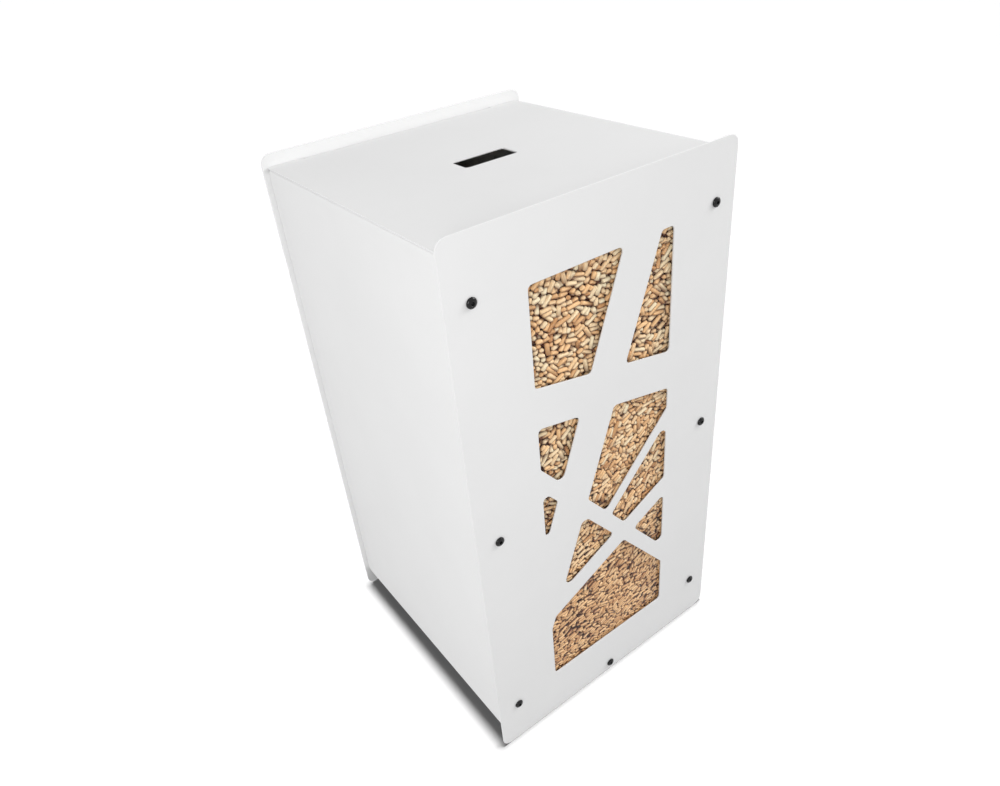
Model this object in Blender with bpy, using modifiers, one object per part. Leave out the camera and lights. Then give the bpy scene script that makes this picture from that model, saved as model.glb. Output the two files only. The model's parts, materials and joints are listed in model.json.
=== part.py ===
"""Pellet storage box: folded sheet-steel case between two face plates, with a lift-off lid.

The front plate carries a pattern of windows between slanted bars, with a clear pane behind it.
Frame: metres, +Z up, front towards -Y, origin on the ground under the middle of the box.
"""

import math
from typing import NamedTuple

import bmesh
import bpy
from mathutils import Matrix, Vector


class Bar(NamedTuple):
    """A straight bar in the window field, from one point of the field to another."""

    start_share: tuple[float, float]
    end_share: tuple[float, float]
    width: float


# Face plates
PLATE_WIDTH = 0.320
PLATE_HEIGHT = 0.600
PLATE_THICKNESS = 0.0015
PLATE_CORNER_RADIUS = 0.010
PLATE_OVERHANG = 0.005
PLATE_RISE = 0.0125
PLATE_FOOT = 0.026

# Window field in the front plate: its insets, and the fillets of its windows' corners, which are
# larger in acute corners and reach only so far along an edge
FIELD_SIDE_INSET = 0.078
FIELD_END_INSET = 0.062
WINDOW_FILLET = 0.0045
ACUTE_FILLET = 0.0065
ACUTE_ANGLE = 60.0
FILLET_REACH = 0.017

# Bars left standing in the field: their widths, and their ends as shares of its width and height
STEEP_BAR_WIDTH = 0.0425
CROSS_BAR_WIDTH = 0.0415
FALLING_BAR_WIDTH = 0.0165
RISING_BAR_WIDTH = 0.022
BRANCH_BAR_WIDTH = 0.0115
STEEP_BAR_SHARES = (0.0, 0.2825), (0.7704, 1.0)
CROSS_BAR_SHARES = (0.0, 0.7526), (1.0, 0.6856)
FALLING_BAR_SHARES = (0.0, 0.5852), (1.0, 0.1597)
RISING_BAR_SHARES = (0.0, 0.2073), (1.0, 0.3746)
BRANCH_BAR_SHARES = (0.4706, 0.3850), (1.0, 0.5732)

# Folded sheets of the case
CASE_DEPTH = 0.313
SHEET_THICKNESS = 0.0015
BEND_INNER_RADIUS = 0.001
CORNER_RELIEF = 0.0005
FLANGE_PAST_SCREWS = 0.018
WALL_TOP_RETURN = 0.014
WALL_BOTTOM_RETURN = 0.022
FLOOR_APRON = 0.026
FLOOR_CLEARANCE = 0.001

# Lid
LID_CLEARANCE = 0.0006
LID_RIM = 0.016
LID_RIM_CLEARANCE = 0.002
LID_RELIEF_SLIT = 0.0015
SLOT_LENGTH = 0.0595
SLOT_WIDTH = 0.025
SLOT_CORNER_RADIUS = 0.003
SLOT_SETBACK = 0.0035

# Window pane and its tape
PANE_THICKNESS = 0.0015
PANE_SIDE_CLEARANCE = 0.007
PANE_END_CLEARANCE = 0.011
TAPE_THICKNESS = 0.0005
TAPE_WIDTH = 0.012

# Screws and press-in nuts
SCREW_SIDE_INSET = 0.025
SCREW_END_INSET = 0.0565
FOOT_SCREW_HEIGHT = 0.011
SCREW_RADIUS = 0.0025
SCREW_LENGTH = 0.010
HEAD_RADIUS = 0.00475
HEAD_HEIGHT = 0.00275
HEAD_RIM = 0.0006
SOCKET_ACROSS_FLATS = 0.003
SOCKET_DEPTH = 0.0016
HOLE_CLEARANCE = 0.0003
NUT_RADIUS = 0.00475
NUT_HEIGHT = 0.004
NUT_CHAMFER = 0.0006

# Heap of pellets: how far it stands above the windows, the fall of its surface to the rear, and the
# lumps of its front and of that surface
FILL_COVER = 0.0095
FILL_SLOPE = 38.0
FILL_CLEARANCE = 0.001
LUMP_PITCH = 0.055
LUMP_HEIGHT = 0.005

# Gap between touching faces, the share of an edge that a fillet may take, the fineness of round shapes
FIT = 0.0003
EDGE_SHARE = 0.49
BEND_STEPS = 4
QUARTER_STEPS = 4
TURN_STEPS = 16
DOME_STEPS = 4

# Places worked out from the sizes above
BEND_RADIUS = BEND_INNER_RADIUS + SHEET_THICKNESS
BODY_HALF_WIDTH = PLATE_WIDTH / 2 - PLATE_OVERHANG
CASE_HALF_DEPTH = CASE_DEPTH / 2
PLATE_INNER_Y = CASE_HALF_DEPTH + FIT
PLATE_OUTER_Y = PLATE_INNER_Y + PLATE_THICKNESS
LID_TOP = PLATE_HEIGHT - PLATE_RISE
WALL_TOP = LID_TOP - SHEET_THICKNESS - FIT
FLOOR_TOP = PLATE_FOOT + SHEET_THICKNESS + FIT + SHEET_THICKNESS
SCREW_X = PLATE_WIDTH / 2 - SCREW_SIDE_INSET
WALL_FLANGE = SCREW_SIDE_INSET - PLATE_OVERHANG + FLANGE_PAST_SCREWS
FLANGE_EDGE_X = BODY_HALF_WIDTH - WALL_FLANGE
HOLE_RADIUS = SCREW_RADIUS + HOLE_CLEARANCE
PANE_HALF_WIDTH = FLANGE_EDGE_X - PANE_SIDE_CLEARANCE
PANE_BOTTOM = FLOOR_TOP + PANE_END_CLEARANCE
PANE_TOP = LID_TOP - LID_RIM - PANE_END_CLEARANCE
TAPE_FRONT_Y = -PLATE_INNER_Y + FIT
PANE_FRONT_Y = TAPE_FRONT_Y + TAPE_THICKNESS + FIT
PANE_REAR_Y = PANE_FRONT_Y + PANE_THICKNESS
NUT_SEAT_Y = CASE_HALF_DEPTH - SHEET_THICKNESS - FIT
FIELD_HALF_WIDTH = PLATE_WIDTH / 2 - FIELD_SIDE_INSET
FIELD_TOP = PLATE_HEIGHT - FIELD_END_INSET


def make_material(name, colour, roughness, metallic=0.0, transmission=0.0):
    """Principled material of one finish."""
    material = bpy.data.materials.new(name)
    material.use_nodes = True
    shader = material.node_tree.nodes["Principled BSDF"]
    shader.inputs["Base Color"].default_value = (*colour, 1.0)
    shader.inputs["Roughness"].default_value = roughness
    shader.inputs["Metallic"].default_value = metallic
    shader.inputs["Transmission Weight"].default_value = transmission
    return material


def add_object(name, data, collection, material=None, location=(0, 0, 0), rotation=(0, 0, 0)):
    """Object of the given data, linked to one collection, with its material."""
    thing = bpy.data.objects.new(name, data)
    thing.location = location
    thing.rotation_euler = rotation
    collection.objects.link(thing)
    if material and not data.materials:
        data.materials.append(material)
    return thing


def baked_mesh(thing):
    """Closed mesh of an object as the viewport evaluates it; the object itself is removed."""
    bpy.context.view_layer.update()
    graph = bpy.context.evaluated_depsgraph_get()
    mesh = bpy.data.meshes.new_from_object(thing.evaluated_get(graph), depsgraph=graph)
    mesh.name = thing.name
    bpy.data.objects.remove(thing)
    shape = bmesh.new()
    shape.from_mesh(mesh)
    bmesh.ops.remove_doubles(shape, verts=shape.verts, dist=1e-6)
    shape.to_mesh(mesh)
    shape.free()
    return mesh


def flat_mesh(name, loops, thickness, collection):
    """Plate in XY, centred on z = 0, from an outline and the loops of its openings."""
    curve = bpy.data.curves.new(name, "CURVE")
    curve.dimensions = "2D"
    curve.fill_mode = "BOTH"
    curve.extrude = thickness / 2
    for loop in loops:
        spline = curve.splines.new("POLY")
        spline.points.add(len(loop) - 1)
        spline.use_cyclic_u = True
        for point, corner in zip(spline.points, loop):
            point.co = (corner[0], corner[1], 0.0, 1.0)
    return baked_mesh(add_object(name, curve, collection))


def rectangle(half_width, low, high):
    """Corners of an upright rectangle centred on x = 0, anticlockwise."""
    return [
        Vector((-half_width, low)),
        Vector((half_width, low)),
        Vector((half_width, high)),
        Vector((-half_width, high)),
    ]


def rounded(polygon, radius, acute_radius=None):
    """Outline of a convex anticlockwise polygon with rounded corners, smaller where an edge is short."""
    outline = []
    for index, corner in enumerate(polygon):
        back = polygon[index - 1] - corner
        ahead = polygon[(index + 1) % len(polygon)] - corner
        half_angle = back.angle(ahead) / 2
        acute = acute_radius and 2 * half_angle < math.radians(ACUTE_ANGLE)
        run = (acute_radius if acute else radius) / math.tan(half_angle)
        run = min(run, FILLET_REACH, back.length * EDGE_SHARE, ahead.length * EDGE_SHARE)
        start = corner + back.normalized() * run
        middle = (back.normalized() + ahead.normalized()).normalized()
        centre = corner + middle * run / math.cos(half_angle)
        sweep = math.pi - 2 * half_angle
        steps = max(2, round(QUARTER_STEPS * sweep / (math.pi / 2)))
        for step in range(steps + 1):
            turn = Matrix.Rotation(sweep * step / steps, 2)
            outline.append(centre + turn @ (start - centre))
    return outline


def clipped(polygon, point, normal):
    """Part of a convex polygon on the side of a line that its normal points to."""
    kept = []
    for start, end in zip(polygon, polygon[1:] + polygon[:1]):
        before = (start - point).dot(normal)
        after = (end - point).dot(normal)
        if before >= 0:
            kept.append(start)
        if before * after < 0:
            kept.append(start.lerp(end, before / (before - after)))
    return kept


def area(polygon):
    """Area of an anticlockwise polygon."""
    return sum(a.cross(b) for a, b in zip(polygon, polygon[1:] + polygon[:1])) / 2


def bar_line(bar):
    """Point and upward normal of a bar's centre line on the plate."""
    width, height = 2 * FIELD_HALF_WIDTH, FIELD_TOP - FIELD_END_INSET
    start, end = (
        Vector((share_across * width - FIELD_HALF_WIDTH, FIELD_END_INSET + share_up * height))
        for share_across, share_up in (bar.start_share, bar.end_share)
    )
    return start, (end - start).orthogonal().normalized()


def split_by_bar(polygon, bar):
    """The two pieces of a polygon that a bar leaves open, one above it and one below."""
    point, normal = bar_line(bar)
    offset = normal * bar.width / 2
    return clipped(polygon, point + offset, normal), clipped(polygon, point - offset, -normal)


def window_loops():
    """Rounded outlines of the windows: the field, divided by each bar in turn."""
    steep = Bar(*STEEP_BAR_SHARES, STEEP_BAR_WIDTH)
    cross = Bar(*CROSS_BAR_SHARES, CROSS_BAR_WIDTH)
    falling = Bar(*FALLING_BAR_SHARES, FALLING_BAR_WIDTH)
    rising = Bar(*RISING_BAR_SHARES, RISING_BAR_WIDTH)
    branch = Bar(*BRANCH_BAR_SHARES, BRANCH_BAR_WIDTH)
    field = rectangle(FIELD_HALF_WIDTH, FIELD_END_INSET, FIELD_TOP)
    above, below = split_by_bar(field, falling)
    openings = [*split_by_bar(above, branch), below]
    for bar in (steep, cross, rising):
        pieces = [piece for opening in openings for piece in split_by_bar(opening, bar)]
        openings = [piece for piece in pieces if len(piece) > 2]
    smallest = (2 * WINDOW_FILLET) ** 2
    windows = [opening for opening in openings if area(opening) > smallest]
    return [rounded(window, WINDOW_FILLET, ACUTE_FILLET) for window in windows]


def screw_places():
    """Plate positions (x, z) of the screws: three at each side and one at the foot."""
    heights = (SCREW_END_INSET, PLATE_HEIGHT / 2, PLATE_HEIGHT - SCREW_END_INSET)
    places = [(side * SCREW_X, height) for side in (-1, 1) for height in heights]
    return places + [(0.0, FOOT_SCREW_HEIGHT)]


def folded_sheet(name, u_lines, v_lines, omit, folds, collection):
    """Sheet with a flat web in XY, its outer face up at z = 0, and edges folded down.

    The web is a grid on the given lines without the omitted cells. Each fold is (direction, line,
    half span, depth): the web's edges on that line, within the span, bend down to that depth.
    """
    shape = bmesh.new()
    columns, rows = len(u_lines) - 1, len(v_lines) - 1
    bmesh.ops.create_grid(shape, x_segments=columns, y_segments=rows, size=1.0)
    for vert in shape.verts:
        column = round((vert.co.x + 1) / 2 * columns)
        row = round((vert.co.y + 1) / 2 * rows)
        vert.co = (u_lines[column], v_lines[row], 0.0)
    omitted = []
    for face in shape.faces:
        middle = face.calc_center_bounds()
        column = sum(middle.x > line for line in u_lines) - 1
        row = sum(middle.y > line for line in v_lines) - 1
        if (column, row) in omit:
            omitted.append(face)
    bmesh.ops.delete(shape, geom=omitted, context="FACES")
    for direction, line, half_span, depth in folds:
        fold_edge(shape, Vector(direction), line, half_span, depth)
    bmesh.ops.recalc_face_normals(shape, faces=shape.faces)
    if max(shape.faces, key=lambda face: face.calc_area()).normal.z < 0:
        bmesh.ops.reverse_faces(shape, faces=shape.faces)
    mesh = bpy.data.meshes.new(name)
    shape.to_mesh(mesh)
    shape.free()
    sheet = add_object(name, mesh, collection)
    solidify = sheet.modifiers.new("sheet", "SOLIDIFY")
    solidify.thickness = SHEET_THICKNESS
    solidify.offset = -1.0
    solidify.use_even_offset = True
    return baked_mesh(sheet)


def fold_edge(shape, direction, line, half_span, depth):
    """Bends the web's open edges on one line down by a quarter turn, then straight to the depth."""
    along = Vector((-direction.y, direction.x, 0.0))
    edges = []
    for edge in shape.edges:
        centre = (edge.verts[0].co + edge.verts[1].co) / 2
        on_line = all(abs(vert.co.dot(direction) - line) < 1e-7 for vert in edge.verts)
        if edge.is_boundary and on_line and abs(centre.dot(along)) < half_span:
            edges.append(edge)
    verts = {vert for edge in edges for vert in edge.verts}
    pivot = direction * line - Vector((0, 0, BEND_RADIUS))
    bend = bmesh.ops.spin(
        shape, geom=[*verts, *edges], cent=pivot, axis=along, angle=math.pi / 2, steps=BEND_STEPS
    )
    last = [item for item in bend["geom_last"] if isinstance(item, bmesh.types.BMEdge)]
    flange = bmesh.ops.extrude_edge_only(shape, edges=last)
    ends = [item for item in flange["geom"] if isinstance(item, bmesh.types.BMVert)]
    bmesh.ops.translate(shape, verts=ends, vec=(0, 0, BEND_RADIUS - depth))


def turned_mesh(name, profile, closed, collection):
    """Solid of revolution about Z from points (radius, height) that run down the outer side."""
    shape = bmesh.new()
    verts = [shape.verts.new((radius, 0.0, height)) for radius, height in profile]
    for start, end in zip(verts, verts[1:] + (verts[:1] if closed else [])):
        shape.edges.new((start, end))
    mesh = bpy.data.meshes.new(name)
    shape.to_mesh(mesh)
    shape.free()
    piece = add_object(name, mesh, collection)
    turn = piece.modifiers.new("turn", "SCREW")
    turn.steps = turn.render_steps = TURN_STEPS
    turn.use_merge_vertices = True
    turn.merge_threshold = 1e-6
    mesh = baked_mesh(piece)
    mesh.shade_smooth()
    mesh.set_sharp_from_angle(angle=math.radians(40))
    return mesh


def as_cutter(thing):
    """Marks an object as a cutter."""
    thing.display_type = "WIRE"
    thing.hide_render = True
    return thing


def cut(thing, cutter):
    """Takes a cutter's shape out of an object."""
    difference = thing.modifiers.new(cutter.name, "BOOLEAN")
    difference.operation = "DIFFERENCE"
    difference.object = cutter
    return thing


def screw_hole_cutter(cutters):
    """All the screw holes, as one cutter that passes through both plates and the folds behind them."""
    shape = bmesh.new()
    for x, z in screw_places():
        for side in (-1, 1):
            place = Matrix.Translation((x, side * CASE_HALF_DEPTH, z))
            bmesh.ops.create_cone(
                shape, cap_ends=True, segments=TURN_STEPS, radius1=HOLE_RADIUS, radius2=HOLE_RADIUS,
                depth=2 * SCREW_LENGTH, matrix=place @ Matrix.Rotation(math.pi / 2, 4, "X"),
            )
    mesh = bpy.data.meshes.new("screw_holes")
    shape.to_mesh(mesh)
    shape.free()
    return as_cutter(add_object("screw_holes", mesh, cutters))


def slot_cutter(cutters):
    """Finger slot in the middle of the lid."""
    outline = rounded(rectangle(SLOT_LENGTH / 2, -SLOT_WIDTH / 2, SLOT_WIDTH / 2), SLOT_CORNER_RADIUS)
    mesh = flat_mesh("finger_slot", [outline], 4 * SHEET_THICKNESS, cutters)
    return as_cutter(add_object("finger_slot", mesh, cutters, location=(0, SLOT_SETBACK, LID_TOP)))


def face_plate(name, side, openings, holes, parts, coat):
    """Face plate at the front (side -1) or the rear (side 1), standing on the ground."""
    outline = rounded(rectangle(PLATE_WIDTH / 2, 0.0, PLATE_HEIGHT), PLATE_CORNER_RADIUS)
    mesh = flat_mesh(name, [outline, *openings], PLATE_THICKNESS, parts)
    middle = side * (PLATE_INNER_Y + PLATE_OUTER_Y) / 2
    plate = add_object(name, mesh, parts, coat, (0, middle, 0), (math.pi / 2, 0, 0))
    return cut(plate, holes)


def pane_and_tape(parts, acrylic, foam):
    """Clear pane behind the windows and the ring of tape that holds it to the front plate."""
    outline = rectangle(PANE_HALF_WIDTH, PANE_BOTTOM, PANE_TOP)
    inner = rectangle(PANE_HALF_WIDTH - TAPE_WIDTH, PANE_BOTTOM + TAPE_WIDTH, PANE_TOP - TAPE_WIDTH)
    upright = (math.pi / 2, 0, 0)
    tape = flat_mesh("pane_tape", [outline, inner], TAPE_THICKNESS, parts)
    pane = flat_mesh("window_pane", [outline], PANE_THICKNESS, parts)
    add_object("pane_tape", tape, parts, foam, (0, TAPE_FRONT_Y + TAPE_THICKNESS / 2, 0), upright)
    add_object("window_pane", pane, parts, acrylic, (0, PANE_FRONT_Y + PANE_THICKNESS / 2, 0), upright)


def side_walls(holes, parts, coat):
    """Left and right walls: one folded sheet, used twice, with flanges on all four edges."""
    half_height = (WALL_TOP - PLATE_FOOT) / 2
    u_edge, v_edge = CASE_HALF_DEPTH - BEND_RADIUS, half_height - BEND_RADIUS
    u_end, v_end = u_edge - CORNER_RELIEF, v_edge - CORNER_RELIEF
    corners = {(column, row) for column in (0, 2) for row in (0, 2)}
    folds = [
        ((1, 0, 0), u_edge, v_end, WALL_FLANGE),
        ((-1, 0, 0), u_edge, v_end, WALL_FLANGE),
        ((0, 1, 0), v_edge, u_end, WALL_TOP_RETURN),
        ((0, -1, 0), v_edge, u_end, WALL_BOTTOM_RETURN),
    ]
    u_lines, v_lines = (-u_edge, -u_end, u_end, u_edge), (-v_edge, -v_end, v_end, v_edge)
    mesh = folded_sheet("side_wall", u_lines, v_lines, corners, folds, parts)
    for name, side in (("left_wall", -1), ("right_wall", 1)):
        place = (side * BODY_HALF_WIDTH, 0, PLATE_FOOT + half_height)
        wall = add_object(name, mesh, parts, coat, place, (math.pi / 2, 0, side * math.pi / 2))
        cut(wall, holes)


def floor_panel(holes, parts, coat):
    """Floor on the walls' lower returns, with aprons turned down behind the plates."""
    side = BODY_HALF_WIDTH - BEND_RADIUS - FIT
    apron = FLANGE_EDGE_X - FLOOR_CLEARANCE
    edge = CASE_HALF_DEPTH - BEND_RADIUS
    rear = CASE_HALF_DEPTH - SHEET_THICKNESS - FIT
    omit = {(1, 0), (1, 2)}
    folds = [((0, direction, 0), edge, apron, FLOOR_APRON) for direction in (-1, 1)]
    mesh = folded_sheet(
        "floor_panel", (-side, -apron, apron, side), (-rear, -edge, edge, rear), omit, folds, parts
    )
    cut(add_object("floor_panel", mesh, parts, coat, (0, 0, FLOOR_TOP)), holes)


def lid(slot, parts, coat):
    """Lid flush with the walls' faces, with rims that drop between their flanges, and a finger slot."""
    side = BODY_HALF_WIDTH
    rim = FLANGE_EDGE_X - LID_RIM_CLEARANCE
    end = PLATE_INNER_Y - LID_CLEARANCE
    edge = end - BEND_RADIUS
    slit = rim + LID_RELIEF_SLIT
    omit = {(column, row) for column in (1, 2, 3) for row in (0, 2)}
    folds = [((0, direction, 0), edge, rim, LID_RIM) for direction in (-1, 1)]
    mesh = folded_sheet(
        "lid", (-side, -slit, -rim, rim, slit, side), (-end, -edge, edge, end), omit, folds, parts
    )
    return cut(add_object("lid", mesh, parts, coat, (0, 0, LID_TOP)), slot)


def hollow_depths(shape, facing, corner, spans):
    """Divides the flat side that faces one way by a grid, and gives the depth of each point in it.

    The grid starts at a corner of that side and runs along two spans. The side keeps its height in
    lumps at every other crossing of the lines, and sinks in between.
    """
    outward = [face for face in shape.faces if face.normal.dot(facing) > 0.5]
    faces = [face for face in outward if abs((face.verts[0].co - corner).dot(face.normal)) < 1e-6]
    steps = [span / (2 * max(1, round(span.length / LUMP_PITCH))) for span in spans]
    for span, step in zip(spans, steps):
        for line in range(-1, round(span.length / step.length) + 2):
            geom = dict.fromkeys(part for face in faces for part in (face, *face.edges, *face.verts))
            divided = bmesh.ops.bisect_plane(
                shape, geom=list(geom), dist=1e-6, plane_co=corner + line * step, plane_no=step.normalized()
            )
            faces = [part for part in divided["geom"] if isinstance(part, bmesh.types.BMFace)]
    depths = {}
    for vert in dict.fromkeys(vert for face in faces for vert in face.verts):
        waves = [math.cos(math.pi * (vert.co - corner).dot(step) / step.length_squared) for step in steps]
        depths[vert] = LUMP_HEIGHT / 2 * (1 - waves[0] * waves[1])
    return depths


def pellet_fill(parts, wood):
    """Heap of pellets: it fills the case up to the pane and slopes down to the rear plate."""
    front = PANE_REAR_Y + FIT
    rear = PLATE_INNER_Y - FIT
    narrow = FLANGE_EDGE_X - FILL_CLEARANCE
    wide = BODY_HALF_WIDTH - SHEET_THICKNESS - FIT
    behind_screws = max(SCREW_LENGTH - PLATE_THICKNESS, PLATE_INNER_Y - NUT_SEAT_Y + NUT_HEIGHT)
    shoulder = PLATE_INNER_Y - behind_screws - FILL_CLEARANCE
    outline = [
        (-narrow, front), (narrow, front), (narrow, -shoulder), (wide, -shoulder),
        (wide, shoulder), (narrow, shoulder), (narrow, rear), (-narrow, rear),
        (-narrow, shoulder), (-wide, shoulder), (-wide, -shoulder), (-narrow, -shoulder),
    ]
    bottom, top = FLOOR_TOP + FIT, FIELD_TOP + FILL_COVER
    shape = bmesh.new()
    base = shape.faces.new([shape.verts.new((x, y, bottom)) for x, y in outline])
    raised = bmesh.ops.extrude_face_region(shape, geom=[base])["geom"]
    for vert in (item for item in raised if isinstance(item, bmesh.types.BMVert)):
        vert.co.z = top - (vert.co.y - front) * math.tan(math.radians(FILL_SLOPE))
    bmesh.ops.recalc_face_normals(shape, faces=shape.faces)
    for side in (-1, 1):
        bmesh.ops.bisect_plane(
            shape, geom=[*shape.verts, *shape.edges, *shape.faces], dist=1e-6,
            plane_co=(side * narrow, 0, 0), plane_no=(1, 0, 0),
        )
    corner = Vector((-narrow, front, top))
    across, down = Vector((2 * narrow, 0, 0)), Vector((0, 0, bottom - top))
    back = Vector((0, rear - front, 0))
    front_depths = hollow_depths(shape, Vector((0, -1, 0)), corner, (across, down))
    top_depths = hollow_depths(shape, Vector((0, 0, 1)), corner, (across, back))
    for vert, depth in front_depths.items():
        vert.co.y += depth
    for vert, depth in top_depths.items():
        vert.co.z -= depth
    bmesh.ops.triangulate(shape, faces=shape.faces)
    mesh = bpy.data.meshes.new("pellet_fill")
    shape.to_mesh(mesh)
    shape.free()
    add_object("pellet_fill", mesh, parts, wood)


def screw_mesh(cutters):
    """Domed socket screw: head on z = 0 and up, shank down."""
    dome = [
        (HEAD_RADIUS * math.sin(turn), HEAD_RIM + (HEAD_HEIGHT - HEAD_RIM) * math.cos(turn))
        for turn in (math.pi / 2 * step / DOME_STEPS for step in range(DOME_STEPS + 1))
    ]
    shank = [(SCREW_RADIUS, 0.0), (SCREW_RADIUS, -SCREW_LENGTH), (0.0, -SCREW_LENGTH)]
    profile = [*dome, (HEAD_RADIUS, 0.0), *shank]
    screw = add_object("screw", turned_mesh("screw", profile, False, cutters), cutters)
    socket = bpy.data.meshes.new("socket")
    shape = bmesh.new()
    radius = SOCKET_ACROSS_FLATS / math.sqrt(3)
    bmesh.ops.create_cone(
        shape, cap_ends=True, segments=6, radius1=radius, radius2=radius, depth=2 * SOCKET_DEPTH,
        matrix=Matrix.Translation((0, 0, HEAD_HEIGHT)),
    )
    shape.to_mesh(socket)
    shape.free()
    cut(screw, as_cutter(add_object("screw_socket", socket, cutters)))
    return baked_mesh(screw)


def nut_mesh(cutters):
    """Round press-in nut, seated on z = 0 and standing up."""
    bore, chamfered = HOLE_RADIUS, NUT_RADIUS - NUT_CHAMFER
    profile = [
        (bore, NUT_HEIGHT), (chamfered, NUT_HEIGHT), (NUT_RADIUS, NUT_HEIGHT - NUT_CHAMFER),
        (NUT_RADIUS, 0.0), (bore, 0.0),
    ]
    return turned_mesh("nut", profile, True, cutters)


def fasteners(parts, cutters, black, zinc):
    """Screws through both plates, each in a nut on the inner side of the fold behind it."""
    screw, nut = screw_mesh(cutters), nut_mesh(cutters)
    for label, side in (("front", -1), ("back", 1)):
        outward = (-side * math.pi / 2, 0, 0)
        inward = (side * math.pi / 2, 0, 0)
        for number, (x, z) in enumerate(screw_places(), 1):
            head = (x, side * (PLATE_OUTER_Y + FIT), z)
            seat = (x, side * NUT_SEAT_Y, z)
            add_object(f"{label}_screw_{number}", screw, parts, black, head, outward)
            add_object(f"{label}_nut_{number}", nut, parts, zinc, seat, inward)


def main():
    """Builds the box."""
    for thing in list(bpy.data.objects):
        bpy.data.objects.remove(thing)
    scene = bpy.context.scene.collection
    parts = bpy.data.collections.new("pellet_storage_box")
    cutters = bpy.data.collections.new("cutters")
    scene.children.link(parts)
    scene.children.link(cutters)

    coat = make_material("white_powder_coat", (0.80, 0.80, 0.79), 0.45)
    acrylic = make_material("clear_acrylic", (0.95, 0.96, 0.96), 0.05, transmission=1.0)
    foam = make_material("white_foam_tape", (0.70, 0.70, 0.68), 0.80)
    wood = make_material("pellet_wood", (0.48, 0.29, 0.14), 0.85)
    black = make_material("black_steel", (0.02, 0.02, 0.02), 0.35, metallic=0.6)
    zinc = make_material("zinc_plate", (0.60, 0.60, 0.58), 0.35, metallic=1.0)

    holes = screw_hole_cutter(cutters)
    face_plate("front_panel", -1, window_loops(), holes, parts, coat)
    face_plate("back_panel", 1, [], holes, parts, coat)
    pane_and_tape(parts, acrylic, foam)
    side_walls(holes, parts, coat)
    floor_panel(holes, parts, coat)
    pellet_fill(parts, wood)
    fasteners(parts, cutters, black, zinc)
    fixed = list(parts.objects)
    cover = lid(slot_cutter(cutters), parts, coat)

    case_frame = add_object("case_frame", None, scene)
    lift_axis = add_object("lid_lift_axis", None, scene, location=(0, 0, LID_TOP))
    lift_axis.parent = case_frame
    cover.parent = lift_axis
    cover.location = (0, 0, 0)
    for piece in fixed:
        piece.parent = case_frame


main()
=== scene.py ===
"""Looks of the pellet storage box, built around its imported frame.

The frame's sheets, pane and nuts stay and get their finishes. The heap of pellets and the domed
screws are built here in finer form. Frame: metres, +Z up, the windows face -Y.
"""

from __future__ import annotations

import json
import logging
import math
from dataclasses import dataclass, field
from enum import Enum
from functools import cache
from typing import Any, Iterable, NamedTuple

import bmesh
import bpy
import numpy as np
from bpy.types import Material, NodeSocket, NodeTree, Object
from mathutils import Matrix, Vector

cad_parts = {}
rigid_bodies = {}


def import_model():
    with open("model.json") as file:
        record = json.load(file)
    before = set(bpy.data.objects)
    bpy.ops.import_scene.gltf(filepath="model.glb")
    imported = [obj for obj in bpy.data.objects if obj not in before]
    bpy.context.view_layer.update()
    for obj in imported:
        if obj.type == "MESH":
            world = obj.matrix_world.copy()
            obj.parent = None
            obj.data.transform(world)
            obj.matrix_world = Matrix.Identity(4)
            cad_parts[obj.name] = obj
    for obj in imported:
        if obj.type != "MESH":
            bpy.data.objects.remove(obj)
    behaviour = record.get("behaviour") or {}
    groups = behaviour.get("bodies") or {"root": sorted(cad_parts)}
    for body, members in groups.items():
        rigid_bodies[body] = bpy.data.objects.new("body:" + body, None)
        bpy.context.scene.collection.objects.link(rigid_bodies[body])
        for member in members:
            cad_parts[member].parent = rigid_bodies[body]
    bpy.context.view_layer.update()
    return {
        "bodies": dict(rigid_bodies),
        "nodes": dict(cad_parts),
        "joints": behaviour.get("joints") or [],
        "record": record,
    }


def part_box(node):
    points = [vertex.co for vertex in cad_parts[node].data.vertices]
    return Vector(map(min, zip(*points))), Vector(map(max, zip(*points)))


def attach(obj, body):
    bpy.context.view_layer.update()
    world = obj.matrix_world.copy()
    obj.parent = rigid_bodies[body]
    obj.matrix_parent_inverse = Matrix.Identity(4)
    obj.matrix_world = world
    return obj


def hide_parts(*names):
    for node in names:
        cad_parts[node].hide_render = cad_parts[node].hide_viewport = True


LOG = logging.getLogger("pellet_box")
BAKE_MAP = "OFBake"
SAME_PLACE = 1e-5
LEAST_DISTANCE = 1e-6
PARALLEL_LIMIT = 1e-9
FULL_TURN = 2 * math.pi
Pair = tuple[float, float]
Triple = tuple[float, float, float]
Colour = Triple
Faces = list[tuple[int, ...]]
Array = np.ndarray


class Body(str, Enum):
    """Body of the frame that the pieces of this script ride on."""

    CASE = "case"


class Slot(str, Enum):
    """Material slots of the record."""

    COAT = "white_powder_coat"
    PANE = "clear_acrylic"
    TAPE = "white_foam_tape"
    WOOD = "pellet_wood"
    BLACK = "black_steel"
    ZINC = "zinc_plate"


class Side(Enum):
    """Faces of the box that carry screws, with the way that each one faces along Y."""

    FRONT = -1
    BACK = 1

    @property
    def label(self) -> str:
        """Name of the side in the frame's nodes."""
        return self.name.lower()


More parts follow.
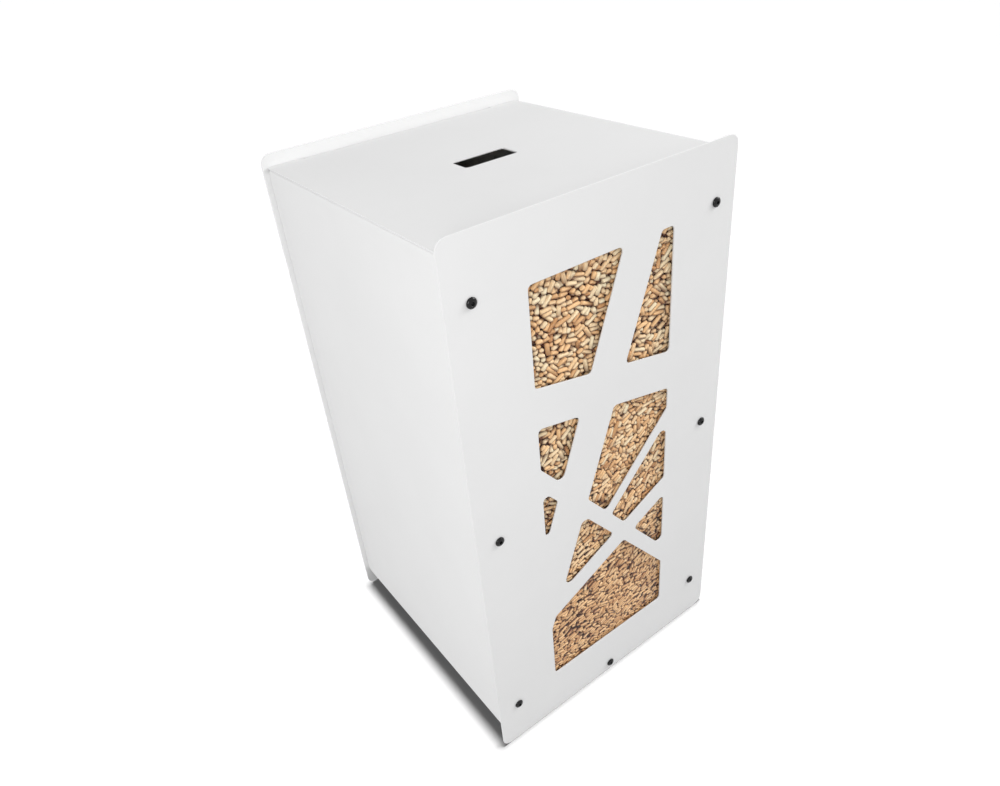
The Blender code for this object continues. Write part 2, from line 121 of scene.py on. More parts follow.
class Graph:
    """Adds nodes and links to one node tree."""

    def __init__(self, tree: NodeTree) -> None:
        """Takes over a tree and clears it.

        Args:
            tree: node tree of a material, a world or a group.
        """
        self.tree = tree
        tree.nodes.clear()

    def add(self, kind: str, inputs: dict[str, Any] | None = None, **settings: Any) -> bpy.types.Node:
        """Adds one node.

        Args:
            kind: Blender's node type.
            inputs: values or output sockets for its inputs, by socket name.
            settings: the node's own properties.

        Returns:
            The new node.
        """
        node = self.tree.nodes.new(kind)
        for name, value in settings.items():
            setattr(node, name, value)
        for name, value in (inputs or {}).items():
            self.feed(node.inputs[name], value)
        return node

    def feed(self, socket: NodeSocket, value: Any) -> None:
        """Links an output socket to an input, or sets the input's value.

        Args:
            socket: input to feed.
            value: an output socket, a number or a colour.
        """
        if isinstance(value, NodeSocket):
            self.tree.links.new(value, socket)
        elif isinstance(value, tuple) and len(value) == 3 and socket.type == "RGBA":
            socket.default_value = (*value, 1.0)
        else:
            socket.default_value = value

    def math(self, operation: str, first: Any, second: Any = 0.0) -> NodeSocket:
        """Output of a math node.

        Args:
            operation: Blender's name of the operation.
            first: number or socket.
            second: number or socket.

        Returns:
            The node's value socket.
        """
        node = self.add("ShaderNodeMath", operation=operation)
        for socket, value in zip(node.inputs, (first, second)):
            self.feed(socket, value)
        return node.outputs[0]

    def remap(self, value: Any, low: float, high: float, to_low: float, to_high: float) -> NodeSocket:
        """Output of a clamped map range.

        Args:
            value: number or socket to map.
            low: value that gives to_low.
            high: value that gives to_high.
            to_low: result at low.
            to_high: result at high.

        Returns:
            The node's result socket.
        """
        span = {"Value": value, "From Min": low, "From Max": high, "To Min": to_low, "To Max": to_high}
        return self.add("ShaderNodeMapRange", span).outputs["Result"]

    def mix(self, share: Any, first: Any, second: Any) -> NodeSocket:
        """Output of a colour mix.

        Args:
            share: how much of the second colour shows.
            first: colour or socket.
            second: colour or socket.

        Returns:
            The mixed colour's socket.
        """
        node = self.add("ShaderNodeMix", data_type="RGBA")
        factor = next(s for s in node.inputs if s.name == "Factor" and s.type == "VALUE")
        colours = [s for s in node.inputs if s.type == "RGBA"]
        for socket, value in zip((factor, *colours), (share, first, second)):
            self.feed(socket, value)
        return next(s for s in node.outputs if s.type == "RGBA")

    def show(self, surface: NodeSocket, output: str = "ShaderNodeOutputMaterial") -> None:
        """Ends the graph in its output node.

        Args:
            surface: the finished shader.
            output: Blender's type of the output node.
        """
        self.feed(self.add(output).inputs["Surface"], surface)


def new_material(name: str) -> tuple[Material, Graph]:
    """Starts a material.

    Args:
        name: the material's name.

    Returns:
        The material and its empty graph.
    """
    material = bpy.data.materials.new(name)
    material.use_nodes = True
    return material, Graph(material.node_tree)


class Groups:
    """Shader node groups that several finishes share, each built once."""

    FINE_RATIO = 3.7
    SKIN_BAND = (0.3, 0.7)
    CLOUD_BAND = (0.35, 0.65)

    @staticmethod
    def start(name: str, **sockets: Iterable[tuple[str, str]]) -> Graph:
        """Starts a group with its named sockets.

        Args:
            name: the group's name.
            sockets: names and kinds of its sockets, by the way they lead.

        Returns:
            The graph of the group's tree.
        """
        tree = bpy.data.node_groups.new(name, "ShaderNodeTree")
        for way, some in sockets.items():
            for label, kind in some:
                tree.interface.new_socket(label, in_out=way, socket_type=f"NodeSocket{kind}")
        return Graph(tree)

    @classmethod
    @cache
    def relief(cls) -> NodeTree:
        """Two layers of small bumps: the skin of a coating, a foam or a plating.

        Returns:
            Group with inputs Place, Scale and Fine, and outputs Height and Mask.
        """
        graph = cls.start(
            "skin_relief",
            INPUT=(("Place", "Vector"), ("Scale", "Float"), ("Fine", "Float")),
            OUTPUT=(("Height", "Float"), ("Mask", "Float")),
        )
        given = graph.add("NodeGroupInput").outputs
        coarse = graph.add("ShaderNodeTexNoise", {
            "Vector": given["Place"], "Scale": given["Scale"],
            "Detail": 2.0, "Roughness": 0.45,
        })
        fine_scale = graph.math("MULTIPLY", given["Scale"], cls.FINE_RATIO)
        fine = graph.add(
            "ShaderNodeTexNoise", {"Vector": given["Place"], "Scale": fine_scale, "Detail": 1.0}
        )
        fine_part = graph.math("MULTIPLY", fine.outputs["Fac"], given["Fine"])
        result = graph.add("NodeGroupOutput")
        graph.feed(result.inputs["Height"], graph.math("ADD", coarse.outputs["Fac"], fine_part))
        graph.feed(result.inputs["Mask"], graph.remap(coarse.outputs["Fac"], *cls.SKIN_BAND, 0.0, 1.0))
        return graph.tree

    @classmethod
    @cache
    def mottle(cls) -> NodeTree:
        """A colour with slow, faint clouds of a second colour in it.

        Returns:
            Group with inputs Place, Scale, Amount, Base and Cloud, and output Colour.
        """
        graph = cls.start(
            "cloudy_tone",
            INPUT=(
                ("Place", "Vector"), ("Scale", "Float"), ("Amount", "Float"),
                ("Base", "Color"), ("Cloud", "Color"),
            ),
            OUTPUT=(("Colour", "Color"),),
        )
        given = graph.add("NodeGroupInput").outputs
        noise = graph.add("ShaderNodeTexNoise", {
            "Vector": given["Place"], "Scale": given["Scale"],
            "Detail": 3.0, "Roughness": 0.55,
        })
        mask = graph.remap(noise.outputs["Fac"], *cls.CLOUD_BAND, 0.0, 1.0)
        share = graph.math("MULTIPLY", mask, given["Amount"])
        result = graph.add("NodeGroupOutput")
        mixed = graph.mix(share, given["Base"], given["Cloud"])
        graph.feed(result.inputs["Colour"], mixed)
        return graph.tree


@dataclass(frozen=True)
class SkinFinish:
    """An even finish with a fine skin: powder coat, foam, black oxide or zinc."""

    slot: Slot
    colour: Colour
    cloud: Colour
    cloud_amount: float
    cloud_scale: float
    skin_scale: float
    skin_fine: float
    skin_depth: float
    roughness: Pair
    metallic: float = 0.0
    specular: float = 0.5

    def material(self) -> Material:
        """Material of the finish.

        Returns:
            A new material, patterned in the frame's coordinates.
        """
        material, graph = new_material(self.slot.value)
        place = graph.add("ShaderNodeTexCoord").outputs["Object"]
        tone = graph.add("ShaderNodeGroup", {
            "Place": place, "Scale": self.cloud_scale, "Amount": self.cloud_amount,
            "Base": self.colour, "Cloud": self.cloud,
        }, node_tree=Groups.mottle())
        skin = graph.add("ShaderNodeGroup", {
            "Place": place, "Scale": self.skin_scale, "Fine": self.skin_fine,
        }, node_tree=Groups.relief())
        bump = graph.add("ShaderNodeBump", {
            "Height": skin.outputs["Height"], "Strength": 1.0, "Distance": self.skin_depth,
        })
        shine = graph.remap(skin.outputs["Mask"], 0.0, 1.0, *self.roughness)
        shader = graph.add("ShaderNodeBsdfPrincipled", {
            "Base Color": tone.outputs["Colour"], "Roughness": shine, "Normal": bump.outputs["Normal"],
            "Metallic": self.metallic, "Specular IOR Level": self.specular,
        })
        graph.show(shader.outputs["BSDF"])
        return material


@dataclass(frozen=True)
class PaneFinish:
    """Clear acrylic sheet that lets the lamps' light through to the pellets."""

    slot: Slot = Slot.PANE
    colour: Colour = (0.985, 0.99, 0.99)
    roughness: float = 0.0
    ior: float = 1.12

    def material(self) -> Material:
        """Material of the pane.

        Returns:
            A new glass material whose shadow rays pass.
        """
        material, graph = new_material(self.slot.value)
        glass = graph.add("ShaderNodeBsdfPrincipled", {
            "Base Color": self.colour, "Roughness": self.roughness, "IOR": self.ior,
            "Transmission Weight": 1.0,
        })
        clear = graph.add("ShaderNodeBsdfTransparent", {"Color": self.colour})
        path = graph.add("ShaderNodeLightPath").outputs
        passing = graph.math("MAXIMUM", path["Is Shadow Ray"], path["Is Diffuse Ray"])
        mixed = graph.add("ShaderNodeMixShader", {"Fac": passing})
        graph.feed(mixed.inputs[1], glass.outputs["BSDF"])
        graph.feed(mixed.inputs[2], clear.outputs["BSDF"])
        graph.show(mixed.outputs["Shader"])
        return material


@dataclass(frozen=True)
class PelletFinish:
    """Pressed softwood: each pellet has its own tone, with streaks along it and rough ends; shade is
    painted into its colour in the gaps and on its underside.
    """

    slot: Slot = Slot.WOOD
    # painted shade colour: the gaps, the undersides and the core are mixed towards it
    painted_shade_colour: Colour = (0.15, 0.032, 0.010)
    dark: Colour = (0.54, 0.25, 0.09)
    middle: Colour = (1.0, 0.625, 0.31)
    pale: Colour = (1.0, 0.865, 0.60)
    dark_at: float = 0.12
    middle_at: float = 0.45
    streak: Colour = (0.60, 0.33, 0.14)
    streak_band: Pair = (0.52, 0.72)
    streak_share: float = 0.55
    # painted shade in the gaps: the depths over which it grows, and its largest share
    painted_gap_shade_depth: Pair = (1.3, 3.0)
    painted_gap_shade_share: float = 0.95
    # painted shade on the undersides: sides that face down are darkened as if lit from above
    under_share: float = 0.80
    under_facing: Pair = (-0.62, 0.2)
    streak_scale: float = 520.0
    bump_strength: float = 0.8
    bump_depth: float = 0.00025
    shine_band: Pair = (0.35, 0.65)
    roughness: Pair = (0.55, 0.8)

    def material(self) -> Material:
        """Material of the pellets.

        Returns:
            A new material that reads the tone, the depth and the grain stored on the pellets, and paints
            shade that grows with depth and on sides that face down.
        """
        material, graph = new_material(self.slot.value)
        tone = graph.add("ShaderNodeAttribute", attribute_name=PelletHeap.TONE)
        grain = graph.add("ShaderNodeAttribute", attribute_name=PelletHeap.GRAIN)
        ramp = graph.add("ShaderNodeValToRGB", {"Fac": tone.outputs["Fac"]})
        stops = ramp.color_ramp.elements
        # the ramp starts at the painted shade colour, which only the core's tone of 0 reaches
        stops[0].position, stops[0].color = 0.0, (*self.painted_shade_colour, 1.0)
        stops[1].position, stops[1].color = 1.0, (*self.pale, 1.0)
        stops.new(self.dark_at).color = (*self.dark, 1.0)
        stops.new(self.middle_at).color = (*self.middle, 1.0)
        streaks = graph.add("ShaderNodeTexNoise", {
            "Vector": grain.outputs["Vector"], "Scale": self.streak_scale,
            "Detail": 3.0, "Roughness": 0.6,
        }).outputs["Fac"]
        share = graph.remap(streaks, *self.streak_band, 0.0, self.streak_share)
        colour = graph.mix(share, ramp.outputs["Color"], self.streak)
        depth = graph.add("ShaderNodeAttribute", attribute_name=PelletHeap.DEPTH)
        facing = graph.add("ShaderNodeSeparateXYZ", {
            "Vector": graph.add("ShaderNodeNewGeometry").outputs["Normal"],
        })
        # painted shade: darker further into the heap and on sides that face down, mixed towards the
        # painted shade colour
        gap = graph.remap(depth.outputs["Fac"], *self.painted_gap_shade_depth, 0.0, self.painted_gap_shade_share)
        under = graph.remap(facing.outputs["Z"], *self.under_facing, self.under_share, 0.0)
        shade = graph.math("MAXIMUM", gap, under)
        colour = graph.mix(shade, colour, self.painted_shade_colour)
        bump = graph.add("ShaderNodeBump", {
            "Height": streaks, "Strength": self.bump_strength, "Distance": self.bump_depth,
        })
        shine = graph.remap(streaks, *self.shine_band, *self.roughness)
        shader = graph.add("ShaderNodeBsdfPrincipled", {
            "Base Color": colour, "Roughness": shine, "Normal": bump.outputs["Normal"],
        })
        graph.show(shader.outputs["BSDF"])
        return material


POWDER_COAT = SkinFinish(
    Slot.COAT, colour=(0.825, 0.825, 0.825), cloud=(0.80, 0.80, 0.80), cloud_amount=0.6,
    cloud_scale=9.0, skin_scale=900.0, skin_fine=0.35, skin_depth=0.00003, roughness=(0.42, 0.5),
)
FOAM_TAPE = SkinFinish(
    Slot.TAPE, colour=(0.72, 0.72, 0.70), cloud=(0.62, 0.62, 0.60), cloud_amount=0.5, cloud_scale=60.0,
    skin_scale=1500.0, skin_fine=0.6, skin_depth=0.00008, roughness=(0.8, 0.95),
)
BLACK_OXIDE = SkinFinish(
    Slot.BLACK, colour=(0.005, 0.005, 0.006), cloud=(0.012, 0.011, 0.011), cloud_amount=0.5,
    cloud_scale=300.0, skin_scale=2200.0, skin_fine=0.3, skin_depth=0.00001, roughness=(0.10, 0.16),
    specular=0.26,
)
BRIGHT_ZINC = SkinFinish(
    Slot.ZINC, colour=(0.60, 0.60, 0.58), cloud=(0.48, 0.48, 0.47), cloud_amount=0.6, cloud_scale=180.0,
    skin_scale=1800.0, skin_fine=0.4, skin_depth=0.00002, roughness=(0.28, 0.42), metallic=1.0,
)


def dress(thing: Object, material: Material) -> None:
    """Gives an object one material.

    Args:
        thing: object of the frame or of this script.
        material: its only material.
    """
    thing.data.materials.clear()
    thing.data.materials.append(material)


def linked(name: str, data: bpy.types.ID) -> Object:
    """New object, linked to the scene.

    Args:
        name: the object's name.
        data: its mesh, light or camera.

    Returns:
        The object.
    """
    thing = bpy.data.objects.new(name, data)
    bpy.context.scene.collection.objects.link(thing)
    return thing


@dataclass
class SheetCase:
    """The folded and flat sheets of the case and the lid, kept from the frame."""

    nodes: tuple[str, ...] = (
        "front_panel", "back_panel", "left_wall", "right_wall", "floor_panel", "lid",
    )
    edge_round: float = 0.00045
    edge_steps: int = 2
    sharp_angle: float = 35.0
    weld: float = 0.00001

    def soften_edges(self, sheet: Object) -> None:
        """Rounds a sheet's cut edges as the coating does.

        Args:
            sheet: object of the frame.
        """
        weld = sheet.modifiers.new("weld", "WELD")
        weld.merge_threshold = self.weld
        bevel = sheet.modifiers.new("edge_round", "BEVEL")
        bevel.width = self.edge_round
        bevel.segments = self.edge_steps
        bevel.limit_method = "ANGLE"
        bevel.angle_limit = math.radians(self.sharp_angle)
        bevel.harden_normals = True

    def build(self, frame: dict[str, Any]) -> list[Object]:
        """Dresses the sheets.

        Args:
            frame: the loaded frame.

        Returns:
            The sheets.
        """
        coat = POWDER_COAT.material()
        sheets = [frame["nodes"][name] for name in self.nodes]
        for sheet in sheets:
            dress(sheet, coat)
            self.soften_edges(sheet)
            LOG.info("sheet %s", sheet.name)
        return sheets


@dataclass
class Glazing:
    """The clear pane and the tape that holds it, kept from the frame."""

    pane: str = "window_pane"
    tape: str = "pane_tape"

    def build(self, frame: dict[str, Any]) -> None:
        """Dresses the pane and its tape.

        Args:
            frame: the loaded frame.
        """
        dress(frame["nodes"][self.pane], PaneFinish().material())
        dress(frame["nodes"][self.tape], FOAM_TAPE.material())
        LOG.info("pane and tape")


class Rods(NamedTuple):
    """Loose rods: their middles, unit axes, lengths and radii."""

    place: Array
    axis: Array
    length: Array
    radius: Array


@dataclass
class RodPacking:
    """Pours rods into a box and moves them until they hardly overlap."""

    low: Array
    high: Array
    radius: Pair
    rng: np.random.Generator
    fill_share: Pair = (0.55, 0.61)
    mean_length: Pair = (5.8, 4.3)
    length_spread: float = 1.4
    length_limits: Pair = (2.2, 9.0)
    lean: float = 18.0
    lean_spread: Pair = (8.0, 38.0)
    depth_spread: Pair = (0.14, 0.8)
    drift: Pair = (7.0, 25.0)
    drift_length: float = 0.11
    drift_waves: int = 4
    level_count: int = 65
    steps: int = 200
    rate: float = 0.45
    wall_rate: float = 0.6
    search_every: int = 12
    search_skin: float = 0.004
    end_round: float = 0.7

    def drifted(self, place: Array, height: Array) -> Array:
        """Slow change of the lean over the box, so that neighbours lie alike.

        Args:
            place: middles of the rods.
            height: their shares of the box's last axis.

        Returns:
            Degrees to add to each rod's lean.
        """
        waves = self.rng.uniform((-1, -1, 0), (1, 1, FULL_TURN), (self.drift_waves, 3))
        phase = place[:, (0, 2)] @ waves[:, :2].T * FULL_TURN / self.drift_length + waves[:, 2]
        return np.interp(height, (0, 1), self.drift) * np.sin(phase).sum(1) / math.sqrt(len(waves) / 2)

    def pour(self) -> Rods:
        """Rods at random places, most of them lying near level in the box's first and last axes.

        Their radius goes from the first to the second value along the box's last axis, and their
        lengths are shares of it.

        Returns:
            The rods, which still overlap.
        """
        size = self.high - self.low
        levels = np.linspace(0, 1, self.level_count)
        radii = np.interp(levels, (0, 1), self.radius)
        each = math.pi * np.interp(levels, (0, 1), self.mean_length) * radii ** 3
        crowd = np.interp(levels, (0, 1), self.fill_share) / each
        count = int(float(np.prod(size)) * crowd.mean())
        height = np.interp(self.rng.uniform(0, 1, count), np.cumsum(crowd) / crowd.sum(), levels)
        radius = np.interp(height, (0, 1), self.radius)
        mean = np.interp(height, (0, 1), self.mean_length)
        length = radius * self.rng.normal(mean, self.length_spread).clip(*self.length_limits)
        place = self.low + size * np.column_stack((self.rng.uniform(0, 1, (count, 2)), height))
        spread = np.interp(height, (0, 1), self.lean_spread) * self.rng.normal(0, 1, count)
        lean = np.radians(self.lean + self.drifted(place, height) + spread)
        across = np.interp(height, (0, 1), self.depth_spread) * self.rng.normal(0, 1, count)
        axis = np.column_stack((np.cos(lean), across, np.sin(lean)))
        return Rods(place, axis / np.linalg.norm(axis, axis=1)[:, None], length, radius)

    def pairs(self, rods: Rods, half: Array) -> tuple[Array, Array]:
        """Pairs of rods that are close enough to meet soon.

        Args:
            rods: the rods.
            half: half lengths of their middle lines.

        Returns:
            Indices of the first and of the second rod of each pair.
        """
        reach = half + rods.radius + self.search_skin / 2
        order = np.argsort(rods.place[:, 2], kind="stable")
        heights = rods.place[order, 2]
        last = np.searchsorted(heights, heights + 2 * reach.max())
        first_of, second_of = [], []
        for rank, one in enumerate(order):
            others = order[rank + 1:last[rank]]
            gap = rods.place[others] - rods.place[one]
            near = others[(gap * gap).sum(1) < (reach[others] + reach[one]) ** 2]
            first_of.append(np.full(len(near), one))
            second_of.append(near)
        return np.concatenate(first_of), np.concatenate(second_of)

    @staticmethod
    def closest(gap: Array, u: Array, v: Array, h: Array, k: Array) -> tuple[Array, Array]:
        """Where pairs of middle lines come closest.

        Args:
            gap: first middles less second middles.
            u: axes of the first rods.
            v: axes of the second rods.
            h: half lengths of the first rods.
            k: half lengths of the second rods.

        Returns:
            Signed distances from the middles, along the first and along the second axes.
        """
        turn, along_u, along_v = (u * v).sum(1), (u * gap).sum(1), (v * gap).sum(1)
        s = np.clip((turn * along_v - along_u) / np.maximum(1 - turn * turn, PARALLEL_LIMIT), -h, h)
        t = np.clip(turn * s + along_v, -k, k)
        return np.clip(turn * t - along_u, -h, h), t

    def separate(self, rods: Rods, half: Array, inertia: Array, one: Array, two: Array) -> None:
        """Pushes and turns overlapping rods apart by one step, in place.

        Args:
            rods: the rods.
            half: half lengths of their middle lines.
            inertia: turning inertia of each rod for one unit of mass.
            one: first rods of the pairs.
            two: second rods of the pairs.
        """
        place, axis = rods.place, rods.axis
        s, t = self.closest(place[one] - place[two], axis[one], axis[two], half[one], half[two])
        gap = place[one] + s[:, None] * axis[one] - place[two] - t[:, None] * axis[two]
        distance = np.sqrt((gap * gap).sum(1))
        overlap = rods.radius[one] + rods.radius[two] - distance
        hit = overlap > 0
        one, two, s, t, distance, overlap = (part[hit] for part in (one, two, s, t, distance, overlap))
        normal = gap[hit] / np.maximum(distance, LEAST_DISTANCE)[:, None]
        side_one = normal - (normal * axis[one]).sum(1)[:, None] * axis[one]
        side_two = normal - (normal * axis[two]).sum(1)[:, None] * axis[two]
        give_one = 1 + s * s * (side_one * side_one).sum(1) / inertia[one]
        give_two = 1 + t * t * (side_two * side_two).sum(1) / inertia[two]
        push = (overlap / (give_one + give_two))[:, None]
        shift, roll = np.zeros_like(place), np.zeros_like(axis)
        for index, sign, lever, side in ((one, 1, s, side_one), (two, -1, t, side_two)):
            move = sign * push * normal
            turn = sign * push * (lever / inertia[index])[:, None] * side
            for column in range(3):
                shift[:, column] += np.bincount(index, move[:, column], len(place))
                roll[:, column] += np.bincount(index, turn[:, column], len(place))
        place += self.rate * shift
        axis += self.rate * roll

    def contain(self, rods: Rods, half: Array, inertia: Array) -> None:
        """Pushes rods' ends back inside the box, in place.

        Args:
            rods: the rods.
            half: half lengths of their middle lines.
            inertia: turning inertia of each rod for one unit of mass.
        """
        place, axis, radius = rods.place, rods.axis, rods.radius[:, None]
        for end in (-1, 1):
            tip = place + end * half[:, None] * axis
            over = np.maximum(self.low + radius - tip, 0) + np.minimum(self.high - radius - tip, 0)
            place += self.wall_rate * over / 2
            axis += self.wall_rate * end * over * (half / (inertia + half**2))[:, None]
        axis /= np.sqrt((axis * axis).sum(1))[:, None]

    def settle(self) -> Rods:
        """Poured rods after all steps.

        Returns:
            Rods that touch and hardly overlap.
        """
        rods = self.pour()
        half = rods.length / 2 - rods.radius * self.end_round
        inertia = (2 * half) ** 2 / 12 + rods.radius**2 / 2
        for step in range(self.steps):
            if step % self.search_every == 0:
                one, two = self.pairs(rods, half)
            self.separate(rods, half, inertia, one, two)
            self.contain(rods, half, inertia)
        return rods


class Ring(NamedTuple):
    """One ring of a pellet's skin: the end it belongs to, how far it lies inside it and how wide it is.

    The inset and the reach are shares of the pellet's radius.
    """

    end: int
    inset: float
    reach: float


Rings = tuple[Ring, ...]


@dataclass
class PelletHeap:
    """Loose wood pellets: a layer behind the pane, the heap's free surface, and a core under both that
    is painted all in shade.

    Tones, painted darker towards the bottom as shade, painted gap shade gains and painted shade sink
    limits go with tone_heights.
    A gain above 1 paints stronger shade into the gaps, and a pellet that lies further in than its limit,
    in radii, gets no more painted shade for that.
    """

    TONE = "pellet_tone"
    DEPTH = "pellet_depth"
    GRAIN = "pellet_grain"

    node: str = "pellet_fill"
    pane_radius: Pair = (0.0016, 0.0024)
    top_radius: Pair = (0.0022, 0.0022)
    top_lean_spread: Pair = (70.0, 70.0)
    top_depth_spread: Pair = (0.3, 0.3)
    radius_spread: float = 0.04
    tone_floor: float = 0.12
    tone_spread: Pair = (2.0, 1.6)
    tone_heights: tuple[float, ...] = (0.125, 0.20, 0.32, 0.40)
    # painted shade: pellets get darker towards the bottom, where the light falls off
    tones: tuple[float, ...] = (0.46, 0.78, 0.88, 1.05)
    # painted shade in the gaps, and the limits that cap it for pellets lying far in
    painted_gap_shade_gains: tuple[float, ...] = (2.25, 1.9, 1.65, 1.3)
    painted_shade_sink_limits: tuple[float, ...] = (1.5, 1.6, 1.8, 3.0)
    sides: int = 7
    full_rings: Rings = (
        Ring(-1, 0.0, 0.72), Ring(-1, 0.42, 1.0), Ring(1, 0.42, 1.0), Ring(1, 0.0, 0.72),
    )
    plain_rings: Rings = (Ring(-1, 0.12, 0.96), Ring(1, 0.12, 0.96))
    pane_layer_depth: float = 0.0100
    top_layer_depth: float = 0.0084
    core_gap: float = 0.001
    core_cover: float = 0.002
    # depth given to the core, so that all of it is painted shade
    core_shade_depth: float = 10.0
    end_rough: float = 0.00025
    ring_spread: float = 0.05
    wall_clearance: float = 0.0004
    pane_half_width: float = 0.097
    pane_low: float = 0.047
    split_height: float = 0.250
    corner_clearance: float = 0.004
    upright: float = 0.9
    grain_stretch: float = 0.22
    grain_room: float = 3.0
    cell_margin: float = 0.04
    cell_levels: Pair = (0.15, 0.85)
    seed: int = 41
    quick_steps: int = 40
    rng: np.random.Generator = field(init=False)
    material: Material = field(init=False)

    def __post_init__(self) -> None:
        """Seeds the heap's random numbers and makes its material."""
        self.rng = np.random.default_rng(self.seed)
        self.material = PelletFinish().material()

    def outline(self, solid: Object) -> dict[str, float]:
        """Measures of the heap's solid that the layers follow.

        Args:
            solid: the frame's solid of the heap.

        Returns:
            Half widths, depths and heights by name, and the run and fall of its slope.
        """
        points = np.array([v.co for v in solid.data.vertices], float)
        low, high = points.min(0), points.max(0)
        at_front = points[points[:, 1] < low[1] + SAME_PLACE]
        at_rear = points[points[:, 1] > high[1] - SAME_PLACE]
        wide = points[np.abs(points[:, 0]) > high[0] - SAME_PLACE]
        return {
            "narrow": float(at_front[:, 0].max()), "wide": float(high[0]), "front": float(low[1]),
            "rear": float(high[1]), "bottom": float(low[2]), "front_top": float(at_front[:, 2].max()),
            "shoulder": float(wide[:, 1].min()), "run": float(high[1] - low[1]),
            "fall": float(at_front[:, 2].max() - at_rear[:, 2].max()),
        }

    def packed(self, low: Triple, high: Triple, radius: Pair, **settings: Any) -> Rods:
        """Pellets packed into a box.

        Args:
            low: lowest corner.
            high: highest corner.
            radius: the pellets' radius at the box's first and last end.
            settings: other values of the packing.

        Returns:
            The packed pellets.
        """
        packing = RodPacking(np.array(low), np.array(high), radius, self.rng, **settings)
        return packing.settle()

    def pane_layer(self, size: dict[str, float]) -> Rods:
        """Pellets that lie against the pane.

        Args:
            size: the heap's measures.

        Returns:
            The pellets in the frame's coordinates.
        """
        side, front = self.pane_half_width, size["front"] + self.wall_clearance
        top = size["front_top"] - self.wall_clearance
        return self.packed(
            (-side, front, self.pane_low), (side, front + self.pane_layer_depth, top), self.pane_radius
        )

    def top_layer(self, size: dict[str, float]) -> Rods:
        """Pellets of the free surface, which slopes down to the rear.

        Args:
            size: the heap's measures.

        Returns:
            The pellets in the frame's coordinates.
        """
        run, fall = size["run"], size["fall"]
        down = np.array((0.0, run, -fall)) / math.hypot(run, fall)
        up = np.array((0.0, fall, run)) / math.hypot(run, fall)
        start = (size["shoulder"] - size["front"]) / down[1] + self.corner_clearance
        end = math.hypot(run, fall) - self.corner_clearance
        side = size["wide"] - self.wall_clearance
        local = self.packed(
            (-side, -self.top_layer_depth, start), (side, 0.0, end), self.top_radius,
            lean=0.0, lean_spread=self.top_lean_spread, depth_spread=self.top_depth_spread,
        )
        turn = np.vstack((np.array((1.0, 0.0, 0.0)), up, down))
        origin = np.array((0.0, size["front"], size["front_top"]))
        return local._replace(place=origin + local.place @ turn, axis=local.axis @ turn)

    def skin(self, rods: Rods, rings: Rings) -> tuple[Array, Array]:
        """Vertices of all pellets: their rings and two tips each.

        Args:
            rods: the pellets.
            rings: rings of one pellet, from its first end to its last.

        Returns:
            Vertices and their grain coordinates, by pellet.
        """
        count, rng = len(rods.length), self.rng
        helper = np.where(np.abs(rods.axis[:, 2:]) < self.upright, (0.0, 0.0, 1.0), (1.0, 0.0, 0.0))
        right = np.cross(rods.axis, helper)
        right /= np.linalg.norm(right, axis=1)[:, None]
        frames = np.stack((right, np.cross(rods.axis, right), rods.axis), 1)
        steps = np.linspace(0, FULL_TURN, self.sides, endpoint=False)
        turn = rng.uniform(0, FULL_TURN, (count, 1)) + steps
        radius = rods.radius[:, None]
        girth = radius * rng.normal(1.0, self.radius_spread, (count, 1))
        half = rods.length[:, None] / 2 - self.end_rough
        local = []
        for ring in rings:
            along = ring.end * (half - ring.inset * radius) + rng.normal(0, self.end_rough, turn.shape)
            reach = girth * ring.reach * (1 - rng.uniform(0, self.ring_spread, turn.shape))
            local.append(np.stack((reach * np.cos(turn), reach * np.sin(turn), along), -1))
        for end in (-1, 1):
            tip = np.zeros((count, 1, 3))
            tip[..., 2] = end * half + rng.normal(0, self.end_rough, (count, 1))
            local.append(tip)
        spots = np.concatenate(local, 1)
        shift = rng.uniform(0, self.grain_room, (count, 1, 3))
        grain = spots * (1.0, 1.0, self.grain_stretch) + shift
        return rods.place[:, None] + spots @ frames, grain

    def faces(self, rings: Rings) -> tuple[Faces, Array]:
        """Faces of one pellet and their places in its cell of the bake map.

        Args:
            rings: rings of one pellet.

        Returns:
            The faces on the pellet's own vertices, and a map place for each face corner.
        """
        n, last = self.sides, len(rings) - 1
        levels = np.linspace(*self.cell_levels, len(rings))
        low_tip, high_tip = n * len(rings), n * len(rings) + 1
        faces: Faces = []
        spots: list[Pair] = []
        for k in range(n):
            ahead, u, v, middle = (k + 1) % n, k / n, (k + 1) / n, (k + 0.5) / n
            for ring in range(last):
                low, high = ring * n, ring * n + n
                faces.append((low + k, low + ahead, high + ahead, high + k))
                below, above = levels[ring], levels[ring + 1]
                spots += [(u, below), (v, below), (v, above), (u, above)]
            faces.append((ahead, k, low_tip))
            spots += [(v, levels[0]), (u, levels[0]), (middle, 0.0)]
            faces.append((last * n + k, last * n + ahead, high_tip))
            spots += [(u, levels[last]), (v, levels[last]), (middle, 1.0)]
        return faces, np.array(spots)

    def core(self, size: dict[str, float]) -> tuple[Array, Faces]:
        """Body of the heap under its layers.

        Args:
            size: the heap's measures.

        Returns:
            Vertices and faces of a closed prism.
        """
        slope = size["fall"] / size["run"]
        sink = (self.top_layer_depth - self.core_cover) * math.hypot(1.0, slope)
        front = size["front"] + self.pane_layer_depth - self.core_cover
        rear = size["rear"] - self.core_gap
        tops = [size["front_top"] - (y - size["front"]) * slope - sink for y in (front, rear)]
        profile = [(front, size["bottom"]), (rear, size["bottom"]), (rear, tops[1]), (front, tops[0])]
        side = size["narrow"] - self.core_gap
        points = np.array([(x, y, z) for x in (-side, side) for y, z in profile])
        faces = [(a, a + 4, (a + 1) % 4 + 4, (a + 1) % 4) for a in range(4)]
        return points, [(0, 1, 2, 3), (7, 6, 5, 4)] + faces

